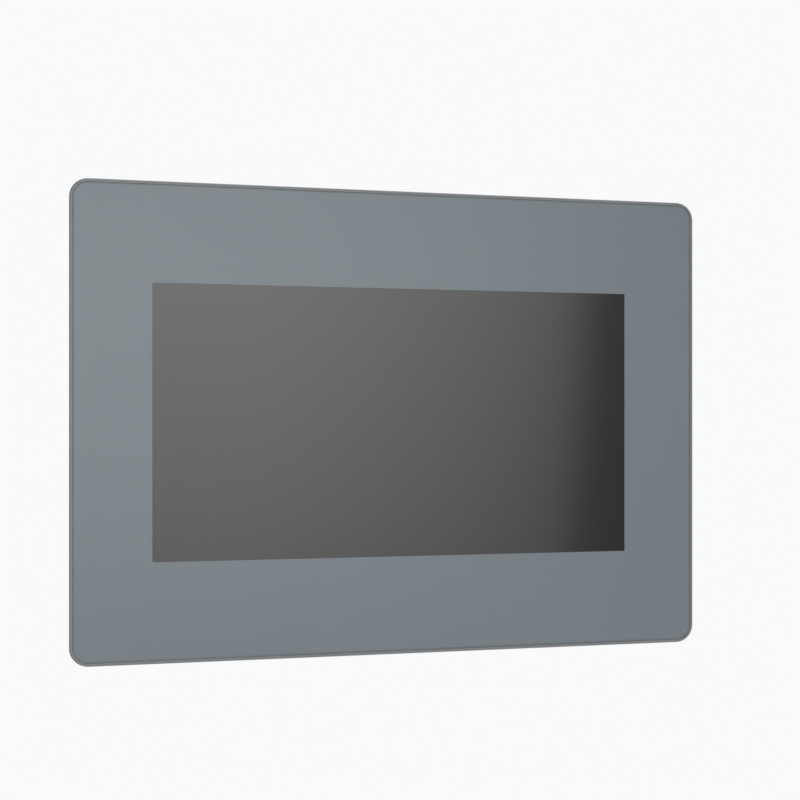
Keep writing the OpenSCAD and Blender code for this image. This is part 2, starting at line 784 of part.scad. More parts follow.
// The outline of a USB device port: square, with two cut corners
module port_dee() {
  polygon([[-4.2, -3.9], [4.2, -3.9], [4.2, 2.2], [2.6, 3.9], [-2.6, 3.9], [-4.2, 2.2]]);
}

// The outline of a nine-pin port, wider towards the back
module dee(w, h) {
  lean = 0.9;
  polygon([[lean - w/2, -h/2], [w/2 - lean, -h/2], [w/2, h/2], [-w/2, h/2]]);
}

module ninepin_shell() color("#c6cacb") difference() {
  z = ninepin_flange_z;
  union() {
    box([ninepin_x - 15.4, ninepin_y - 6.2, z], [ninepin_x + 15.4, ninepin_y + 6.2, z + 0.8]);
    plate_z(z - ninepin_reach, z + 0.4) translate([ninepin_x, ninepin_y]) dee(16.9, 8.4);
  }
  plate_z(z - ninepin_reach - eps, z + 1) translate([ninepin_x, ninepin_y]) dee(16.1, 7.6);
  for (side = [-1, 1])
    rod_z(ninepin_x + side*jack_spacing/2, ninepin_y, jack_r + 0.3, z - eps, z + 1);
}

module ninepin_insert() color("#24272a") difference() {
  z = ninepin_flange_z;
  union() {
    box([ninepin_x - 9.5, board_y, z + 0.8], [ninepin_x + 9.5, ninepin_y + 5.6, z + 11]);
    plate_z(z - ninepin_reach + 0.3, z + 1) translate([ninepin_x, ninepin_y]) dee(15.9, 7.4);
  }
  for (i = [-2:2]) ninepin_hole(i*ninepin_pitch, 1.42);
  for (i = [-1.5:1.5]) ninepin_hole(i*ninepin_pitch, -1.42);
}

module ninepin_hole(x, y) {
  low = ninepin_flange_z - ninepin_reach;
  box([ninepin_x + x - 0.5, ninepin_y + y - 0.5, low], [ninepin_x + x + 0.5, ninepin_y + y + 0.5, low + 6]);
}

module jack_screws() color("#b4b8ba") for (side = [-1, 1]) {
  x = ninepin_x + side*jack_spacing/2;
  difference() {
    union() {
      hex_z(x, ninepin_y, jack_flats, bay_z - jack_reach, bay_z);
      rod_z(x, ninepin_y, jack_r, bay_z - eps, bay_z + 6);
    }
    rod_z(x, ninepin_y, jack_r, bay_z - jack_reach - eps, bay_z - 0.4);
  }
}

// ---- Side service parts ----

module card_socket() color("#c6cacb") difference() {
  box([board_x0, board_y, card_z - card_w/2], [board_x0 + 15, board_y + 2.4, card_z + card_w/2]);
  box([board_x0 - eps, board_y + 0.5, card_z - 5.6], [board_x0 + 14, board_y + 1.8, card_z + 5.6]);
}

module dip_housing() color("#28508f") difference() {
  box([dip_face_x, board_y, dip_z - 5.9], [dip_face_x + 6, board_y + 5.6, dip_z + 5.9]);
  for (n = [1:4]) box([dip_face_x - eps, dip_y - 1.5, slider_z(n) - 0.7],
    [dip_face_x + 1.8, dip_y + 1.5, slider_z(n) + 0.7]);
}

function slider_z(n) = dip_z + (2.5 - n)*dip_pitch;

module dip_slider(n) color("#f1f1ee") {
  y0 = dip_y - 1.35;
  box([dip_face_x + 0.3, y0, slider_z(n) - 0.55], [dip_face_x + 1.6, y0 + 1.5, slider_z(n) + 0.55]);
  box([dip_face_x - 1.2, y0 + 0.2, slider_z(n) - 0.45], [dip_face_x + 0.4, y0 + 1.3, slider_z(n) + 0.45]);
}

module reset_switch() color("#2a2d30") difference() {
  box([dip_face_x, board_y, reset_z - 3], [dip_face_x + 4.6, board_y + 4.4, reset_z + 3]);
  rod_x(reset_y, reset_z, reset_r + running, dip_face_x - eps, dip_face_x + 2);
}

module reset_button() color("#b5452f") rod_x(reset_y, reset_z, reset_r, dip_face_x - 2, dip_face_x + 1.2);

// ---- Assembly ----

front_bezel();
front_overlay();
touch_film();
touch_sensor();
touch_flex();
foam_tape();
lcd_frame();
lcd_cell();
light_guide();
backlight_tray();
lcd_flex();
panel_gasket();
display_bracket();
bracket_screws();
board_standoffs();
main_board();
board_screws();
board_chips();
heat_sink();
power_parts();
board_connectors();
battery_holder();
coin_cell();
rear_cover();
cover_screws();
battery_door();
rating_label();
mounting_clamps();
clamp_screw(1);  // clamp_screw_1
clamp_screw(2);  // clamp_screw_2
clamp_screw(3);  // clamp_screw_3
clamp_screw(4);  // clamp_screw_4
clamp_foot(1);  // clamp_foot_1
clamp_foot(2);  // clamp_foot_2
clamp_foot(3);  // clamp_foot_3
clamp_foot(4);  // clamp_foot_4
power_header();
header_pins();
terminal_plug();
plug_release(1);  // plug_release_1
plug_release(2);  // plug_release_2
plug_release(3);  // plug_release_3
network_shield();
network_insert();
serial_socket();
usb_host_shell();
usb_host_tongue();
usb_device_port();
ninepin_shell();
ninepin_insert();
jack_screws();
card_socket();
dip_housing();
dip_slider(1);  // dip_slider_1
dip_slider(2);  // dip_slider_2
dip_slider(3);  // dip_slider_3
dip_slider(4);  // dip_slider_4
reset_switch();
reset_button();
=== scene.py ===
"""Looks for a panel-mount operator terminal: finishes on the CAD parts, fine detail, studio and camera.

Everything is in metres in the CAD frame: X along the width, Y from front to back, Z up.
"""

import json
import math
import random

import bmesh
import bpy
from mathutils import Matrix, Vector


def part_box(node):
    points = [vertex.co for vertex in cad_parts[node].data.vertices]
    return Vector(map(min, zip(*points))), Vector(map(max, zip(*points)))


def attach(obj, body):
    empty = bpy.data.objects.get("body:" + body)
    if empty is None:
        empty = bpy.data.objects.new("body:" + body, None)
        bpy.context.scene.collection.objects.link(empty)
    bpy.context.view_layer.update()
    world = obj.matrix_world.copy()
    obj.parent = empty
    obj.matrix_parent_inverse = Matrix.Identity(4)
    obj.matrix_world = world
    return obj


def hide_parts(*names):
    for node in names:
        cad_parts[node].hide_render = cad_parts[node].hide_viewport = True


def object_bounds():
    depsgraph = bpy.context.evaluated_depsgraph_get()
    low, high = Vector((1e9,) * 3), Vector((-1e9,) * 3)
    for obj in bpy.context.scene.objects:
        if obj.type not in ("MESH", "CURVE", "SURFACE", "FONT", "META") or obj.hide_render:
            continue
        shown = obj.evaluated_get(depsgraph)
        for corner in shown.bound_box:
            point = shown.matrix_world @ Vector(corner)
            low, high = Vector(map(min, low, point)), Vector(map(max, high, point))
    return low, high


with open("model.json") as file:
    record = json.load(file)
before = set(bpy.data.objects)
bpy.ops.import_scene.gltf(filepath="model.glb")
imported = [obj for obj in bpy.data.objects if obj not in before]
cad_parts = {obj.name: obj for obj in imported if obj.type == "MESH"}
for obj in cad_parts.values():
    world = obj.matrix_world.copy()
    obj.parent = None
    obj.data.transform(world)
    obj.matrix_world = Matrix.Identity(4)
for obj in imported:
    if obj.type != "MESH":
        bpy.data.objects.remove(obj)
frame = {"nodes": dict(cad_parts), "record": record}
cad_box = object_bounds()
nodes = frame["nodes"]
MM = 0.001

# ---- Camera -------------------------------------------------------------------------------

front_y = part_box("front_bezel")[0].y
sensor_width = 36
focal_length = 48.6
frame_shift = 0.0281
camera_x = -66.7 * MM
camera_distance = 340 * MM
camera_turn = math.radians(-11.17)


def make_camera():
    """A level camera in front of the panel, turned a little to the right, so the left edge is nearer."""
    data = bpy.data.cameras.new("camera")
    data.sensor_width = sensor_width
    data.lens = focal_length
    data.shift_y = frame_shift
    data.clip_start = 0.01
    camera = bpy.data.objects.new("camera", data)
    bpy.context.scene.collection.objects.link(camera)
    camera.location = (camera_x, front_y - camera_distance, 0)
    camera.rotation_euler = (math.radians(90), 0, camera_turn)
    bpy.context.scene.camera = camera


make_camera()

# ---- Studio -------------------------------------------------------------------------------

backdrop = (0.956, 0.957, 0.96, 1)
ambient_light = (0.36, 0.37, 0.38, 1)

key_distance = 1.0
key_size = (1.1, 0.86)
key_right_edge = 0.433
key_tilt = math.radians(4)
key_strength = 3.75
key_left_share = 0.5
key_fade_power = 1.3
key_rise = 0.2
key_low_share, key_high_share = 0.68, 1.06

floor_size = 5.0
floor_shade = (0.75, 0.75, 0.75, 1)
floor_middle_y = 1.6
floor_drop = 0.12

area_lights = (
    ("top_light", (0.1, 0.3, 0.75), (0.6, 0.5), 4),
    ("rear_left", (0.7, 0.7, 0.35), (0.35, 0.5), 4.5),
    ("rear_right", (-0.65, 0.75, 0.1), (0.3, 0.4), 1.6),
    ("under_light", (0.1, 0.4, -0.6), (0.5, 0.3), 2.5),
)


def plane(name, width, depth, material):
    """A flat stage sheet, facing +Z, centred on its own origin."""
    mesh = bpy.data.meshes.new(name)
    points = [(x * width / 2, y * depth / 2, 0) for x, y in ((-1, -1), (1, -1), (1, 1), (-1, 1))]
    mesh.from_pydata(points, [], [(0, 1, 2, 3)])
    mesh.materials.append(material)
    obj = bpy.data.objects.new(name, mesh)
    bpy.context.scene.collection.objects.link(obj)
    return obj


def empty_material(name):
    """A material with only an output node, and its tree."""
    material = bpy.data.materials.new(name)
    material.use_nodes = True
    material.node_tree.nodes.clear()
    return material, material.node_tree, material.node_tree.nodes.new("ShaderNodeOutputMaterial")


def softbox_glow(fade_from, fade_to):
    """The softbox sheet's glow. Along its own X it falls to key_left_share of full between the fade marks,
    slowly at first, and along its own Y it rises round the middle."""
    material, tree, out = empty_material("key_glow")
    glow = tree.nodes.new("ShaderNodeEmission")
    coords = tree.nodes.new("ShaderNodeTexCoord")
    split = tree.nodes.new("ShaderNodeSeparateXYZ")
    tree.links.new(coords.outputs["Object"], split.inputs[0])
    across = map_range(tree, split.outputs["X"], fade_from, fade_to, 0, 1)
    lost = math_node(tree, "POWER", across, key_fade_power)
    level = map_range(tree, lost, 0, 1, key_strength, key_strength * key_left_share)
    upward = map_range(tree, split.outputs["Y"], -key_rise, key_rise, key_low_share, key_high_share)
    tree.links.new(math_node(tree, "MULTIPLY", level, upward), glow.inputs["Strength"])
    tree.links.new(glow.outputs[0], out.inputs["Surface"])
    return material


def map_range(tree, value, from_low, from_high, to_low, to_high):
    """A clamped Map Range node's output."""
    node = tree.nodes.new("ShaderNodeMapRange")
    node.clamp = True
    node.inputs["From Min"].default_value = from_low
    node.inputs["From Max"].default_value = from_high
    node.inputs["To Min"].default_value = to_low
    node.inputs["To Max"].default_value = to_high
    tree.links.new(value, node.inputs["Value"])
    return node.outputs["Result"]


def math_node(tree, operation, first, second):
    """A Math node's output. The second input is a socket or a number."""
    node = tree.nodes.new("ShaderNodeMath")
    node.operation = operation
    tree.links.new(first, node.inputs[0])
    if isinstance(second, (int, float)):
        node.inputs[1].default_value = second
    else:
        tree.links.new(second, node.inputs[1])
    return node.outputs[0]


def make_key():
    """The softbox in front of the panel. Its right-hand edge shows in the window as a soft fall-off."""
    width, height = key_size
    middle_x = key_right_edge - width / 2
    material = softbox_glow(-middle_x, key_right_edge - middle_x)
    key = plane("key_softbox", width, height, material)
    key.matrix_world = (Matrix.Translation((middle_x, front_y - key_distance, 0))
                        @ Matrix.Rotation(key_tilt, 4, "Y") @ Matrix.Rotation(math.radians(90), 4, "X"))
    key.visible_camera = False


def area_light(name, location, size, power):
    """A soft rectangular light aimed at the object's middle."""
    data = bpy.data.lights.new(name, "AREA")
    data.shape = "RECTANGLE"
    data.size, data.size_y = size
    data.energy = power
    light = bpy.data.objects.new(name, data)
    bpy.context.scene.collection.objects.link(light)
    light.location = location
    light.rotation_euler = (-Vector(location)).to_track_quat("-Z", "Y").to_euler()
    light.visible_camera = False


def mix_shaders(tree, switch, first, second):
    """Shows the first shader where the switch is 0, and the second where it is 1."""
    mix = tree.nodes.new("ShaderNodeMixShader")
    tree.links.new(switch, mix.inputs[0])
    tree.links.new(first.outputs[0], mix.inputs[1])
    tree.links.new(second.outputs[0], mix.inputs[2])
    return mix


def make_world():
    """A pale room: near white to the eye, and dimmer as a light, so the softbox shapes the panel."""
    world = bpy.data.worlds.new("world")
    bpy.context.scene.world = world
    world.use_nodes = True
    tree = world.node_tree
    tree.nodes.clear()
    out = tree.nodes.new("ShaderNodeOutputWorld")
    seen = tree.nodes.new("ShaderNodeBackground")
    seen.inputs["Color"].default_value = backdrop
    ambient = tree.nodes.new("ShaderNodeBackground")
    ambient.inputs["Color"].default_value = ambient_light
    path = tree.nodes.new("ShaderNodeLightPath")
    both = mix_shaders(tree, path.outputs["Is Camera Ray"], ambient, seen)
    tree.links.new(both.outputs[0], out.inputs["Surface"])


def make_floor():
    """A pale floor below the panel, as pale as the room behind it. It gives back a little light, and it is
    clear when seen from underneath."""
    material, tree, out = empty_material("floor_pale")
    seen = tree.nodes.new("ShaderNodeEmission")
    seen.inputs["Color"].default_value = backdrop
    matt = tree.nodes.new("ShaderNodeBsdfDiffuse")
    matt.inputs["Color"].default_value = floor_shade
    clear = tree.nodes.new("ShaderNodeBsdfTransparent")
    path = tree.nodes.new("ShaderNodeLightPath")
    side = tree.nodes.new("ShaderNodeNewGeometry")
    upper = mix_shaders(tree, path.outputs["Is Camera Ray"], matt, seen)
    both = mix_shaders(tree, side.outputs["Backfacing"], upper, clear)
    tree.links.new(both.outputs[0], out.inputs["Surface"])
    floor = plane("floor", floor_size, floor_size, material)
    floor.location = (0, floor_middle_y, cad_box[0].z - floor_drop)


def make_studio():
    bpy.context.scene.view_settings.view_transform = "Standard"
    make_world()
    make_key()
    make_floor()
    for row in area_lights:
        area_light(*row)


make_studio()

# ---- Materials ----------------------------------------------------------------------------


def surface(name, color, roughness, *, metallic=0.0, vary=0.05, patch=9 * MM, rough_vary=0.04,
            grain=0.35 * MM, relief=0.012 * MM, stretch=(1, 1, 1), coat=0.0, coat_roughness=0.1,
            specular=0.5, alpha=1.0, worn=0.0):
    """A Principled material whose colour and roughness wander a little, with a fine grain of relief.
    worn is how far its sharp edges are rubbed paler."""
    material = bpy.data.materials.new(name)
    material.use_nodes = True
    tree = material.node_tree
    shader = tree.nodes["Principled BSDF"]
    shader.inputs["Metallic"].default_value = metallic
    shader.inputs["Coat Weight"].default_value = coat
    shader.inputs["Coat Roughness"].default_value = coat_roughness
    shader.inputs["Specular IOR Level"].default_value = specular
    shader.inputs["Alpha"].default_value = alpha
    coords = tree.nodes.new("ShaderNodeTexCoord")
    scaled = tree.nodes.new("ShaderNodeMapping")
    scaled.inputs["Scale"].default_value = stretch
    tree.links.new(coords.outputs["Object"], scaled.inputs["Vector"])
    patches = noise_node(tree, scaled.outputs[0], 1 / patch, detail=3)
    grains = noise_node(tree, scaled.outputs[0], 1 / grain, detail=2)
    tint = tree.nodes.new("ShaderNodeMix")
    tint.data_type = "RGBA"
    tint.inputs["A"].default_value = (*(c * (1 - vary) for c in color), 1)
    tint.inputs["B"].default_value = (*(min(1, c * (1 + vary)) for c in color), 1)
    tree.links.new(patches, tint.inputs["Factor"])
    tree.links.new(tint.outputs["Result"], shader.inputs["Base Color"])
    if worn:
        rub_edges(tree, shader, color, worn, grains)
    rough = tree.nodes.new("ShaderNodeMapRange")
    rough.inputs["To Min"].default_value = max(0.02, roughness - rough_vary)
    rough.inputs["To Max"].default_value = min(1, roughness + rough_vary)
    tree.links.new(patches, rough.inputs["Value"])
    tree.links.new(rough.outputs["Result"], shader.inputs["Roughness"])
    if relief:
        bump = tree.nodes.new("ShaderNodeBump")
        bump.inputs["Distance"].default_value = relief
        tree.links.new(grains, bump.inputs["Height"])
        tree.links.new(bump.outputs["Normal"], shader.inputs["Normal"])
    return material


def rub_edges(tree, shader, color, worn, grains):
    """Makes the colour paler where the surface bends sharply, more where the grain is high."""
    rounded = tree.nodes.new("ShaderNodeBevel")
    rounded.samples = 4
    rounded.inputs["Radius"].default_value = 0.35 * MM
    flat = tree.nodes.new("ShaderNodeNewGeometry")
    agree = tree.nodes.new("ShaderNodeVectorMath")
    agree.operation = "DOT_PRODUCT"
    tree.links.new(rounded.outputs["Normal"], agree.inputs[0])
    tree.links.new(flat.outputs["Normal"], agree.inputs[1])
    bend = map_range(tree, agree.outputs["Value"], 0.999, 0.9, 0, worn)
    amount = math_node(tree, "MULTIPLY", bend, grains)
    pale = tree.nodes.new("ShaderNodeMix")
    pale.data_type = "RGBA"
    pale.inputs["B"].default_value = (*(min(1, 2.2 * c + 0.1) for c in color), 1)
    tree.links.new(amount, pale.inputs["Factor"])
    tree.links.new(shader.inputs["Base Color"].links[0].from_socket, pale.inputs["A"])
    tree.links.new(pale.outputs["Result"], shader.inputs["Base Color"])


def noise_node(tree, vector, scale, detail):
    """A Noise Texture node's grey output."""
    node = tree.nodes.new("ShaderNodeTexNoise")
    node.inputs["Scale"].default_value = scale
    node.inputs["Detail"].default_value = detail
    tree.links.new(vector, node.inputs["Vector"])
    return node.outputs["Fac"]


def board_surface():
    """Green solder mask over copper. Fine tracks run along X in some areas and along Z in others."""
    track_pitch, track_share = 0.9 * MM, 0.34
    area_size, x_above, z_below = 14 * MM, 0.56, 0.44
    material = surface("circuit_board", (0.012, 0.12, 0.045), 0.3, vary=0.15, patch=6 * MM, coat=0.4,
                       grain=0.5 * MM, relief=0.006 * MM)
    tree = material.node_tree
    shader = tree.nodes["Principled BSDF"]
    coords = tree.nodes.new("ShaderNodeTexCoord")
    split = tree.nodes.new("ShaderNodeSeparateXYZ")
    tree.links.new(coords.outputs["Object"], split.inputs[0])
    areas = noise_node(tree, coords.outputs["Object"], 1 / area_size, detail=0)
    lines = []
    for axis in ("X", "Z"):
        steps = math_node(tree, "DIVIDE", split.outputs[axis], track_pitch)
        fraction = math_node(tree, "FRACT", steps, 0)
        lines.append(math_node(tree, "LESS_THAN", fraction, track_share))
    along_x = math_node(tree, "GREATER_THAN", areas, x_above)
    along_z = math_node(tree, "LESS_THAN", areas, z_below)
    tracks = math_node(tree, "MAXIMUM", math_node(tree, "MULTIPLY", lines[0], along_x),
                       math_node(tree, "MULTIPLY", lines[1], along_z))
    copper = tree.nodes.new("ShaderNodeMix")
    copper.data_type = "RGBA"
    copper.inputs["B"].default_value = (0.06, 0.3, 0.1, 1)
    tree.links.new(tracks, copper.inputs["Factor"])
    tree.links.new(shader.inputs["Base Color"].links[0].from_socket, copper.inputs["A"])
    tree.links.new(copper.outputs["Result"], shader.inputs["Base Color"])
    return material


brushed = {"metallic": 1.0, "stretch": (0.12, 1, 1), "grain": 0.25 * MM, "relief": 0.006 * MM}
finishes = {
    "bezel_plastic": surface("bezel_plastic", (0.185, 0.197, 0.205), 0.5, relief=0.03 * MM),
    "overlay_film": surface("overlay_film", (0.168, 0.195, 0.212), 0.31, vary=0.02, patch=30 * MM,
                            specular=0.3, grain=0.16 * MM, relief=0.004 * MM),
    "window_film": surface("window_film", (0.0135, 0.0135, 0.0135), 0.13, vary=0.05, patch=40 * MM,
                           rough_vary=0.01, grain=0.1 * MM, relief=0.0008 * MM),
    "sensor_glass": surface("sensor_glass", (0.75, 0.82, 0.82), 0.05, alpha=0.35, relief=0),
    "copper_flex": surface("copper_flex", (0.42, 0.2, 0.05), 0.35),
    "black_foam": surface("black_foam", (0.02, 0.02, 0.02), 0.9, grain=0.5 * MM, relief=0.1 * MM),
    "bright_steel": surface("bright_steel", (0.66, 0.67, 0.66), 0.3, **brushed),
    "lcd_glass": surface("lcd_glass", (0.02, 0.022, 0.025), 0.1, relief=0),
    "clear_acrylic": surface("clear_acrylic", (0.9, 0.92, 0.94), 0.08, alpha=0.5, relief=0),
    "white_plastic": surface("white_plastic", (0.78, 0.77, 0.72), 0.38),
    "gasket_rubber": surface("gasket_rubber", (0.018, 0.018, 0.02), 0.65, grain=0.2 * MM),
    "zinc_steel": surface("zinc_steel", (0.58, 0.6, 0.62), 0.33, metallic=1.0, vary=0.12, patch=2 * MM,
                          rough_vary=0.1),
    "standoff_brass": surface("standoff_brass", (0.7, 0.5, 0.22), 0.3, metallic=1.0),
    "circuit_board": board_surface(),
    "chip_plastic": surface("chip_plastic", (0.022, 0.022, 0.024), 0.5, grain=0.15 * MM),
    "black_aluminium": surface("black_aluminium", (0.03, 0.03, 0.033), 0.42, metallic=0.6),
    "component_sleeve": surface("component_sleeve", (0.03, 0.04, 0.06), 0.3),
    "cell_steel": surface("cell_steel", (0.72, 0.72, 0.72), 0.22, **brushed),
    "cover_plastic": surface("cover_plastic", (0.045, 0.05, 0.055), 0.55, vary=0.09,
                             rough_vary=0.08, grain=0.55 * MM, relief=0.12 * MM, worn=0.35),
    "label_film": surface("label_film", (0.5, 0.51, 0.515), 0.52, vary=0.04, patch=14 * MM,
                          specular=0.35, relief=0.006 * MM),
    "clamp_metal": surface("clamp_metal", (0.1, 0.108, 0.115), 0.45, metallic=0.35, grain=0.5 * MM,
                           relief=0.05 * MM, rough_vary=0.1, worn=0.9),
    "foot_plastic": surface("foot_plastic", (0.02, 0.02, 0.022), 0.5),
    "green_plastic": surface("green_plastic", (0.02, 0.22, 0.07), 0.42),
    "tin_plate": surface("tin_plate", (0.7, 0.68, 0.6), 0.25, metallic=1.0),
    "orange_plastic": surface("orange_plastic", (0.75, 0.2, 0.02), 0.4),
    "blue_plastic": surface("blue_plastic", (0.02, 0.08, 0.32), 0.38),
    "red_plastic": surface("red_plastic", (0.5, 0.03, 0.02), 0.4),
    "gold_plate": surface("gold_plate", (0.95, 0.66, 0.24), 0.32, metallic=0.75),
    "green_lens": surface("green_lens", (0.05, 0.3, 0.08), 0.15, relief=0),
    "white_ink": surface("white_ink", (0.75, 0.75, 0.72), 0.5, relief=0),
    "blue_ink": surface("blue_ink", (0.03, 0.1, 0.22), 0.4, relief=0),
    "tan_ceramic": surface("tan_ceramic", (0.38, 0.24, 0.12), 0.45, patch=1 * MM, vary=0.15),
    "amber_lens": surface("amber_lens", (0.6, 0.3, 0.03), 0.15, relief=0),
}

# ---- CAD parts ----------------------------------------------------------------------------

slots = {row["node"]: row["material_slot"] for row in frame["record"]["subparts"]}
edge_radius = {"front_bezel": 0.12, "rear_cover": 0.25, "terminal_plug": 0.3, "mounting_clamps": 0.4}
small_edge = 0.1
round_nodes = ("clamp_foot", "coin_cell", "power_parts", "reset_button", "board_screws")


def round_edges(obj, radius, segments=2):
    """Rounds an object's sharp edges, with a radius in millimetres."""
    bevel = obj.modifiers.new("edges", "BEVEL")
    bevel.width = radius * MM
    bevel.segments = segments
    bevel.limit_method = "ANGLE"
    bevel.angle_limit = math.radians(35)
    bevel.harden_normals = True


def finish_cad(name, obj):
    """Gives a CAD part its finish and breaks its sharp edges."""
    obj.data.materials.clear()
    obj.data.materials.append(finishes[slots[name]])
    for face in obj.data.polygons:
        face.use_smooth = face.use_smooth or name.startswith(round_nodes)
    weld = obj.modifiers.new("weld", "WELD")
    weld.merge_threshold = 0.001 * MM
    round_edges(obj, edge_radius.get(name, small_edge))


for node_name, node_object in nodes.items():
    finish_cad(node_name, node_object)

# ---- Shapes for the fine pieces, in millimetres ---------------------------------------------


def corners(node):
    """The lowest and highest corner of a CAD node at rest, in millimetres."""
    low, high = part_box(node)
    return low / MM, high / MM


def solids(node):
    """The corner pair of each separate solid in a CAD node, in millimetres."""
    shape = bmesh.new()
    shape.from_mesh(nodes[node].data)
    bmesh.ops.remove_doubles(shape, verts=shape.verts, dist=0.001 * MM)
    left = set(shape.verts)
    found = []
    while left:
        reach = [left.pop()]
        island = []
        while reach:
            vert = reach.pop()
            island.append(vert.co / MM)
            for edge in vert.link_edges:
                other = edge.other_vert(vert)
                if other in left:
                    left.remove(other)
                    reach.append(other)
        low = Vector(min(point[i] for point in island) for i in range(3))
        high = Vector(max(point[i] for point in island) for i in range(3))
        found.append((low, high))
    shape.free()
    return sorted(found, key=lambda pair: tuple(round(value, 2) for value in pair[0]))


def add_box(shape, low, high):
    """Adds a box between two corners."""
    verts = [shape.verts.new((x, y, z)) for x in (low[0], high[0]) for y in (low[1], high[1])
             for z in (low[2], high[2])]
    for ids in ((0, 1, 3, 2), (4, 6, 7, 5), (0, 4, 5, 1), (2, 3, 7, 6), (0, 2, 6, 4), (1, 5, 7, 3)):
        shape.faces.new([verts[i] for i in ids])


def make_rings(shape, sections):
    """The vertices of a row of outlines."""
    return [[shape.verts.new(point) for point in section] for section in sections]


def skin(shape, rings):
    """Joins each ring of vertices to the next."""
    for ring, following in zip(rings, rings[1:]):
        for i in range(len(ring)):
            j = (i + 1) % len(ring)
            shape.faces.new((ring[i], ring[j], following[j], following[i]))


def add_loop(shape, sections):
    """Joins a row of equal outlines round into a loop with no ends."""
    rings = make_rings(shape, sections)
    skin(shape, rings + rings[:1])


def add_sweep(shape, sections):
    """Joins a row of equal outlines into one closed skin, with a face at each end."""
    rings = make_rings(shape, sections)
    skin(shape, rings)
    shape.faces.new(rings[0][::-1])
    shape.faces.new(rings[-1])


def add_strip(shape, middle, path, width, thickness, turned=False):
    """Bends a flat strip along points of (y, z). Its width lies along X, centred on middle.
    When turned, its width lies along Z and the path's second value is x."""
    sections = []
    for i, point in enumerate(path):
        before, after = Vector(path[max(i - 1, 0)]), Vector(path[min(i + 1, len(path) - 1)])
        along = (after - before).normalized()
        across = Vector((-along.y, along.x)) * thickness / 2
        section = []
        for side, up in ((-1, 1), (1, 1), (1, -1), (-1, -1)):
            wide, y, far = middle + side * width / 2, point[0] + up * across.x, point[1] + up * across.y
            section.append((far, y, wide) if turned else (wide, y, far))
        sections.append(section)
    add_sweep(shape, sections)


def spokes(axis, steps):
    """Directions square to an axis, evenly spaced round it."""
    side = axis.orthogonal().normalized()
    other = axis.cross(side)
    angles = [2 * math.pi * i / steps for i in range(steps)]
    return [side * math.cos(angle) + other * math.sin(angle) for angle in angles]


def add_turned(shape, centre, axis, profile, steps=32):
    """Turns a profile of (distance along the axis, radius) round an axis through a point."""
    centre, axis = Vector(centre), Vector(axis)
    rim = spokes(axis, steps)
    add_sweep(shape, [[centre + axis * along + spoke * radius for spoke in rim] for along, radius in profile])


def add_ring(shape, centre, axis, profile, steps=20):
    """Turns a closed profile of (distance along the axis, radius) round an axis, as a tube with no ends."""
    centre, axis = Vector(centre), Vector(axis)
    add_loop(shape, [[centre + axis * along + spoke * radius for along, radius in profile]
                     for spoke in spokes(axis, steps)])


def new_piece(name, finish, build, body="panel_unit", edge=0.0, smooth=False, replaced=()):
    """Makes one piece: build fills its shape in millimetres, and body carries it."""
    shape = bmesh.new()
    build(shape)
    bmesh.ops.scale(shape, vec=(MM, MM, MM), verts=shape.verts)
    bmesh.ops.recalc_face_normals(shape, faces=shape.faces)
    mesh = bpy.data.meshes.new(name)
    shape.to_mesh(mesh)
    shape.free()
    mesh.materials.append(finishes[finish])
    for face in mesh.polygons:
        face.use_smooth = smooth
    piece = bpy.data.objects.new(name, mesh)
    bpy.context.scene.collection.objects.link(piece)
    if edge:
        round_edges(piece, edge)
    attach(piece, body)
    if replaced:
        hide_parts(*replaced)
    return piece


def middle_of(low, high):
    """The x and z of a box's middle."""
    return (low.x + high.x) / 2, (low.z + high.z) / 2


board_low, board_high = corners("main_board")
board_y = board_high.y

# ---- Clamp screws ---------------------------------------------------------------------------

thread_pitch = 0.7
thread_depth = 0.33
slot_w = 0.9
slot_d = 1.1


def add_thread(shape, x, z, y0, y1, radius, steps=28, rows=6):
    """A right-hand threaded rod along Y: each row's radius depends on where its crest has got to."""
    count = round((y1 - y0) / thread_pitch * rows)
    sections = []
    for row in range(count + 1):
        y = y0 + (y1 - y0) * row / count
        ring = []
        for i in range(steps):
            turn = i / steps
            phase = (y / thread_pitch + turn) % 1
            inward = thread_depth * min(1, 1.6 * abs(2 * phase - 1))
            lead_in = min(1, (y - y0) / thread_pitch, (y1 - y) / thread_pitch)
            r = radius - thread_depth + (thread_depth - inward) * max(0, lead_in)
            ring.append((x + r * math.cos(2 * math.pi * turn), y, z + r * math.sin(2 * math.pi * turn)))
        sections.append(ring)
    add_sweep(shape, sections)


def add_slotted_head(shape, x, z, y0, y1, radius, arc_steps=20):
    """A cheese head along Y with a screwdriver slot along X: one outline, stepped at the slot's floor."""
    half = math.asin(slot_w / 2 / radius)
    floor_y = y1 - slot_d
    upper = [half + (math.pi - 2 * half) * i / arc_steps for i in range(arc_steps + 1)]
    lower = [angle + math.pi for angle in upper]
    rim = [(radius * math.cos(angle), radius * math.sin(angle)) for angle in upper + lower]
    base = [shape.verts.new((x + u, y0, z + w)) for u, w in rim]
    step = [shape.verts.new((x + u, floor_y, z + w)) for u, w in rim]
    top = [shape.verts.new((x + u, y1, z + w)) for u, w in rim]
    count = len(rim)
    half_count = arc_steps + 1
    shape.faces.new(base)
    for i in range(count):
        shape.faces.new((base[i], base[(i + 1) % count], step[(i + 1) % count], step[i]))
    for first in (0, half_count):
        part = range(first, first + half_count)
        for i in list(part)[:-1]:
            shape.faces.new((step[i], step[i + 1], top[i + 1], top[i]))
        shape.faces.new([top[i] for i in part])
        shape.faces.new((step[part[0]], step[part[-1]], top[part[-1]], top[part[0]]))
    shape.faces.new((step[0], step[half_count - 1], step[half_count], step[-1]))


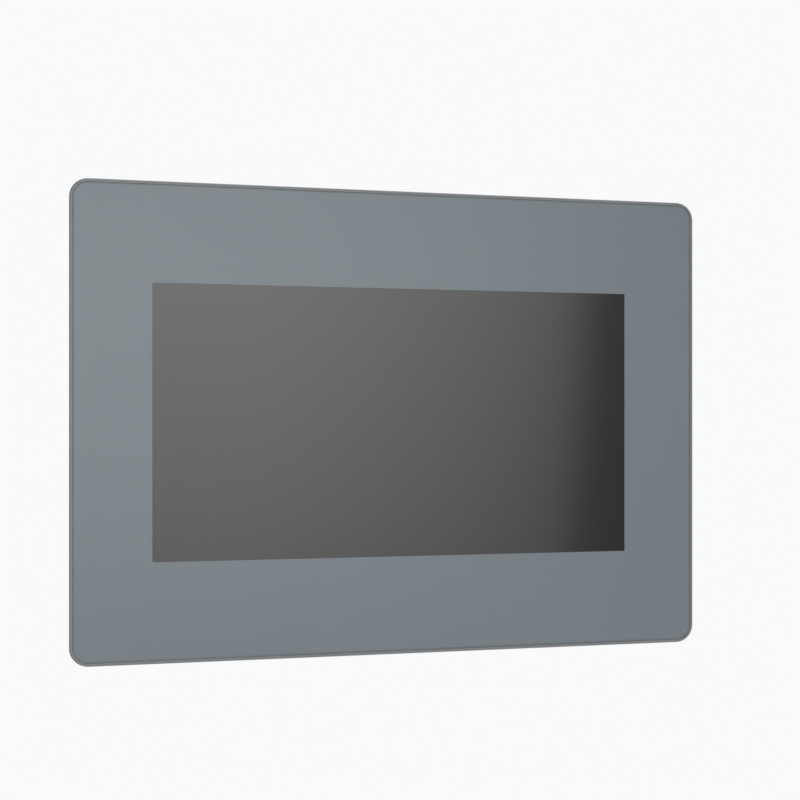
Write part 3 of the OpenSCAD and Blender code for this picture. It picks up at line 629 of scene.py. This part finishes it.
def make_clamp_screws():
    """A threaded rod, a slotted head and the pin that holds the foot, for each of the four clamps."""
    head_t, rod_r, sunk = 2.4, 2.0, 0.2
    pin_r, pin_chamfer, shoulder = 1.3, 0.2, 2.25
    pin_profile = ((0, pin_r - pin_chamfer), (pin_chamfer, pin_r), (shoulder + 0.3, pin_r))
    for n in range(1, 5):
        node = f"clamp_screw_{n}"
        low, high = corners(node)
        x, z = middle_of(low, high)
        head_r = (high.x - low.x) / 2
        head_y = high.y - head_t

        def build(shape):
            add_turned(shape, (x, low.y, z), (0, 1, 0), pin_profile)
            add_thread(shape, x, z, low.y + shoulder, head_y + sunk, rod_r)
            add_slotted_head(shape, x, z, head_y, high.y, head_r)

        new_piece(f"threaded_screw_{n}", "zinc_steel", build, node, edge=0.12, replaced=(node,))


make_clamp_screws()

# ---- Panel seal -----------------------------------------------------------------------------


def rounded_path(low, high, radius, steps=8):
    """Points and outward directions round a rounded rectangle in the XZ plane."""
    path = []
    for quarter, (sx, sz) in enumerate(((1, 1), (-1, 1), (-1, -1), (1, -1))):
        cx = (high.x if sx > 0 else low.x) - sx * radius
        cz = (high.z if sz > 0 else low.z) - sz * radius
        for i in range(steps + 1):
            angle = math.pi / 2 * (quarter + i / steps)
            out = (math.cos(angle), math.sin(angle))
            path.append(((cx + radius * out[0], cz + radius * out[1]), out))
    return path


def make_seal():
    """The rubber seal behind the bezel's edge: a flat foot in the groove and two lips for the panel."""
    low, high = corners("panel_gasket")
    width, lip, corner_r = 3.0, 0.55, 3.7
    groove_y = 0.0
    arc_steps = 8
    profile = [(0, low.y), (0, groove_y)]
    for ridge in (0.27, 0.73):
        middle = ridge * width
        for i in range(arc_steps + 1):
            angle = math.pi * i / arc_steps
            profile.append((middle - lip * math.cos(angle), groove_y + (high.y - groove_y) * math.sin(angle)))
    profile += [(width, groove_y), (width, low.y)]

    def build(shape):
        add_loop(shape, [[(x - out[0] * inset, y, z - out[1] * inset) for inset, y in profile]
                         for (x, z), out in rounded_path(low, high, corner_r)])

    piece = new_piece("seal_strip", "gasket_rubber", build, smooth=True, replaced=("panel_gasket",))
    sharp = piece.modifiers.new("sharp", "EDGE_SPLIT")
    sharp.split_angle = math.radians(50)


make_seal()

# ---- Sockets --------------------------------------------------------------------------------


def make_modular_contacts(name, node, lamps):
    """Eight sprung contacts that slope back into a modular socket, and a lamp in each lower corner."""
    low, high = corners(node)
    x = (low.x + high.x) / 2
    contact_count, contact_pitch, contact_w, contact_t = 8, 1.02, 0.34, 0.2
    lamp_offset, lamp_half_w, lamp_proud = 5.1, 1.5, 0.08

    def contacts(shape):
        path = [(board_y + 10.9, low.z + 4.6), (board_y + 9.9, low.z + 5.1), (board_y + 7.6, low.z + 11.4),
                (board_y + 7.7, low.z + 12.2), (board_y + 8.4, low.z + 13.1)]
        for i in range(contact_count):
            add_strip(shape, x + (i - (contact_count - 1) / 2) * contact_pitch, path, contact_w, contact_t)

    new_piece(name, "gold_plate", contacts, edge=0.04)
    for side, lens in lamps:
        def lamp(shape, middle=x + side * lamp_offset):
            add_box(shape, (middle - lamp_half_w, board_y + 0.9, low.z - lamp_proud),
                    (middle + lamp_half_w, board_y + 2.9, low.z + 4))

        new_piece(f"network_lamp_{lens.split('_')[0]}", lens, lamp, edge=0.25)


def make_host_port():
    """Inside the USB host shell: four strips on the tongue and a sprung tab in each wide side."""
    low, high = corners("usb_host_tongue")
    shell_low, shell_high = corners("usb_host_shell")
    x = (low.x + high.x) / 2
    tongue_y = board_y + 3.5

    def contacts(shape):
        for offset in (-3.5, -1.0, 1.0, 3.5):
            path = [(tongue_y - 0.02, low.z + 0.7), (tongue_y - 0.3, low.z + 2.6),
                    (tongue_y - 0.3, low.z + 3.2), (tongue_y - 0.05, low.z + 5.5),
                    (tongue_y - 0.05, high.z - 2.7)]
            add_strip(shape, x + offset, path, 1.0, 0.16)

    def springs(shape):
        for offset in (-3.1, 3.1):
            for wall_y, inward in ((shell_low.y + 0.4, 1), (shell_high.y - 0.4, -1)):
                path = [(wall_y, shell_low.z + 8.5), (wall_y + 0.45 * inward, shell_low.z + 4.2),
                        (wall_y + 0.5 * inward, shell_low.z + 3.2), (wall_y + 0.05 * inward, shell_low.z + 2)]
                add_strip(shape, x + offset, path, 2.0, 0.2)

    new_piece("host_contacts", "gold_plate", contacts, edge=0.04)
    new_piece("host_springs", "bright_steel", springs, edge=0.04)


def make_device_port():
    """Inside the USB device port: two strips on each face of its middle post."""
    low, high = corners("usb_device_port")
    x = (low.x + high.x) / 2

    def contacts(shape):
        for face_y, outward in ((board_y + 3.9, -1), (board_y + 7.0, 1)):
            for offset in (-1.25, 1.25):
                path = [(face_y, low.z + 1.3), (face_y + 0.22 * outward, low.z + 2.4),
                        (face_y + 0.22 * outward, low.z + 3.2), (face_y + 0.02 * outward, low.z + 8.8)]
                add_strip(shape, x + offset, path, 1.1, 0.16)

    new_piece("device_contacts", "gold_plate", contacts, edge=0.04)


def make_ninepin_contacts():
    """A round gold contact in each of the nine holes, five over four."""
    shell_low, shell_high = corners("ninepin_shell")
    x = (shell_low.x + shell_high.x) / 2
    y = (shell_low.y + shell_high.y) / 2
    face_z = corners("ninepin_insert")[0].z
    pin_pitch, row_gap = 2.77, 2.84
    rows = ((5, row_gap / 2), (4, -row_gap / 2))
    profile = ((0.35, 0.45), (0.35, 0.3), (2.5, 0.3), (2.5, 0.45))

    def build(shape):
        for count, up in rows:
            for i in range(count):
                add_ring(shape, (x + (i - (count - 1) / 2) * pin_pitch, y + up, face_z), (0, 0, 1), profile)

    new_piece("ninepin_contacts", "gold_plate", build)


def make_card_contacts():
    """Eight short strips in the memory card's slot."""
    low, high = corners("card_socket")
    z = (low.z + high.z) / 2
    count, pitch, half_w = 8, 1.1, 0.3

    def build(shape):
        for i in range(count):
            middle = z + (i - (count - 1) / 2) * pitch
            add_box(shape, (low.x + 3, low.y + 1.62, middle - half_w),
                    (low.x + 11, low.y + 1.78, middle + half_w))

    new_piece("card_contacts", "gold_plate", build, edge=0.03)


make_modular_contacts("network_contacts", "network_insert", ((-1, "green_lens"), (1, "amber_lens")))
make_modular_contacts("serial_contacts", "serial_socket", ())
make_host_port()
make_device_port()
make_ninepin_contacts()
make_card_contacts()

# ---- Power plug -----------------------------------------------------------------------------


def make_plug_cages():
    """A steel cage and a clamping leaf inside each of the plug's three wire entries."""
    low, high = corners("terminal_plug")
    middle_x = (low.x + high.x) / 2
    pole_pitch, pin_w = 5.08, 1
    cage_outer, cage_inner = 1.38, 1.2
    entry_y = corners("header_pins")[1].y - pin_w / 2

    def build(shape):
        for pole in (-1, 0, 1):
            x = middle_x + pole * pole_pitch
            for side in (-1, 1):
                outer, inner = x + side * cage_outer, x + side * cage_inner
                add_box(shape, (min(outer, inner), entry_y - 1.7, low.z + 0.9),
                        (max(outer, inner), entry_y + 0.9, low.z + 4.3))
            add_strip(shape, x, [(entry_y - 1.7, low.z + 1.2), (entry_y - 0.7, low.z + 2.6),
                                 (entry_y + 0.1, low.z + 4.2)], 2.3, 0.18)

    new_piece("plug_cages", "tin_plate", build, "terminal_plug", edge=0.04)


make_plug_cages()

# ---- Rating label ---------------------------------------------------------------------------


def make_label_print():
    """The label's printed frame, solid band and empty table: rules and blocks only, with no lettering."""
    low, high = corners("rating_label")
    ink, margin, line, band_h = 0.02, 2.4, 0.3, 6
    left, right = low.x + margin, high.x - margin
    bottom, top = low.z + margin, high.z - margin
    band_z = top - band_h
    row_count, column_x = 5, left + (right - left) * 0.36

    def mark(shape, x0, z0, x1, z1):
        add_box(shape, (x0, high.y - ink / 2, z0), (x1, high.y + ink, z1))

    def rules(shape):
        for z in (bottom, top - line):
            mark(shape, left, z, right, z + line)
        for x in (left, right - line):
            mark(shape, x, bottom + line, x + line, top - line)
        for row in range(1, row_count):
            z = bottom + (band_z - bottom) * row / row_count
            mark(shape, left + line, z, right - line, z + line / 2)
        mark(shape, column_x, bottom + line, column_x + line / 2, band_z - 0.2)

    def band(shape):
        mark(shape, left + 1, band_z + 0.4, right - 1, top - 1.2)

    new_piece("label_rules", "chip_plastic", rules)
    new_piece("label_band", "blue_ink", band)


make_label_print()

# ---- Main board -----------------------------------------------------------------------------

resting_on_board = (
    "board_chips", "heat_sink", "power_parts", "battery_holder", "board_screws", "power_header",
    "network_shield", "serial_socket", "usb_host_shell", "usb_device_port", "ninepin_insert",
    "card_socket", "dip_housing", "reset_switch",
)


def make_chip_legs():
    """Rows of bright gull-wing legs: on all four sides of a square chip, and on two sides of a long one."""
    leg_pitch, leg_w, reach = 0.8, 0.32, 1.1

    def row(shape, start, end, edge, outward, rise, turned):
        count = int((end - start - 1.2) / leg_pitch)
        path = [(board_y + rise, edge - 0.1 * outward), (board_y + rise, edge + 0.3 * outward),
                (board_y + 0.1, edge + 0.55 * outward), (board_y + 0.1, edge + reach * outward)]
        for i in range(count + 1):
            middle = (start + end) / 2 + (i - count / 2) * leg_pitch
            add_strip(shape, middle, path, leg_w, 0.14, turned)

    def build(shape):
        for low, high in solids("board_chips"):
            wide, tall = high.x - low.x, high.z - low.z
            rise = (high.y - low.y) / 2
            square = abs(wide - tall) < 1
            if square or wide >= tall:
                row(shape, low.x, high.x, low.z, -1, rise, False)
                row(shape, low.x, high.x, high.z, 1, rise, False)
            if square or tall > wide:
                row(shape, low.z, high.z, low.x, -1, rise, True)
                row(shape, low.z, high.z, high.x, 1, rise, True)

    new_piece("chip_legs", "tin_plate", build)


def make_board_print():
    """White printed outlines round the chips, with a dot at the first leg."""
    gap, line, ink = 1.5, 0.18, 0.02

    def build(shape):
        for low, high in solids("board_chips"):
            x0, x1, z0, z1 = low.x - gap, high.x + gap, low.z - gap, high.z + gap
            for z in (z0, z1):
                add_box(shape, (x0, board_y - ink, z), (x1, board_y + ink, z + line))
            for x in (x0, x1):
                add_box(shape, (x, board_y - ink, z0 + line), (x + line, board_y + ink, z1))
            add_turned(shape, (x0 - 0.6, board_y, z1 + 0.6), (0, 1, 0), ((-ink, 0.3), (ink, 0.3)), 12)

    new_piece("board_print", "white_ink", build)


def free_places(count, clearance, rng):
    """Random places on the board's rear face that are clear of everything standing on it."""
    margin, grid, gap_x, gap_z = 3, 1.27, 2.2, 1.6
    taken = [pair for node in resting_on_board for pair in solids(node)]
    places = []
    while len(places) < count:
        x = rng.uniform(board_low.x + margin, board_high.x - margin)
        z = rng.uniform(board_low.z + margin, board_high.z - margin)
        x, z = round(x / grid) * grid, round(z / grid) * grid
        hit = any(low.x - clearance < x < high.x + clearance and low.z - clearance < z < high.z + clearance
                  for low, high in taken)
        if not hit and all(abs(x - u) > gap_x or abs(z - w) > gap_z for u, w in places):
            places.append((x, z))
    return places


def make_passives():
    """Small resistors and capacitors, each with a bright cap at both ends."""
    seed, count, clearance = 4, 260, 2.6
    places = free_places(count, clearance, random.Random(seed))
    half_l, half_w, end, proud = 0.8, 0.42, 0.24, 0.02
    groups = (("resistors", "chip_plastic", 0.4, places[::2]),
              ("ceramic_capacitors", "tan_ceramic", 0.7, places[1::2]))
    for name, finish, height, spots in groups:
        def bodies(shape):
            for x, z in spots:
                add_box(shape, (x - half_l + end, board_y, z - half_w),
                        (x + half_l - end, board_y + height, z + half_w))

        def ends(shape):
            for x, z in spots:
                for side in (-1, 1):
                    near, far = x + side * (half_l - end), x + side * half_l
                    add_box(shape, (min(near, far), board_y, z - half_w - proud),
                            (max(near, far), board_y + height + proud, z + half_w + proud))

        new_piece(name, finish, bodies)
        new_piece(f"{name}_ends", "tin_plate", ends)


def make_capacitor_tops():
    """The bare aluminium top of each electrolytic capacitor, scored with a cross so that it can vent."""
    least_height, crimp, cross_inset = 7, 0.35, 1.2
    line, line_h = 0.1, 0.14
    cans = [(low, high) for low, high in solids("power_parts") if high.y - low.y > least_height]

    def tops(shape):
        for low, high in cans:
            x, z = middle_of(low, high)
            radius = (high.x - low.x) / 2 - crimp
            profile = ((-0.3, radius), (0.05, radius), (0.12, radius - 0.15))
            add_turned(shape, (x, high.y, z), (0, 1, 0), profile)

    def scores(shape):
        for low, high in cans:
            x, z = middle_of(low, high)
            reach = (high.x - low.x) / 2 - cross_inset
            add_box(shape, (x - reach, high.y, z - line), (x + reach, high.y + line_h, z + line))
            add_box(shape, (x - line, high.y, z - reach), (x + line, high.y + line_h, z + reach))

    new_piece("capacitor_tops", "bright_steel", tops)
    new_piece("capacitor_scores", "chip_plastic", scores)


def make_cell_clip():
    """The sprung strap that presses on the coin cell and holds it in its seat."""
    low, high = corners("battery_holder")
    x = (low.x + high.x) / 2
    strap = corners("coin_cell")[1].y + 0.3

    def build(shape):
        path = [(board_y + 1, high.z + 0.5), (strap - 0.4, high.z + 0.5), (strap + 0.3, high.z - 0.2),
                (strap + 0.3, high.z - 2.5), (strap - 0.1, high.z - 6), (strap - 0.1, high.z - 8),
                (strap + 0.4, high.z - 9.2)]
        add_strip(shape, x, path, 5, 0.25)

    new_piece("cell_clip", "bright_steel", build, edge=0.06)


make_chip_legs()
make_board_print()
make_passives()
make_capacitor_tops()
make_cell_clip()
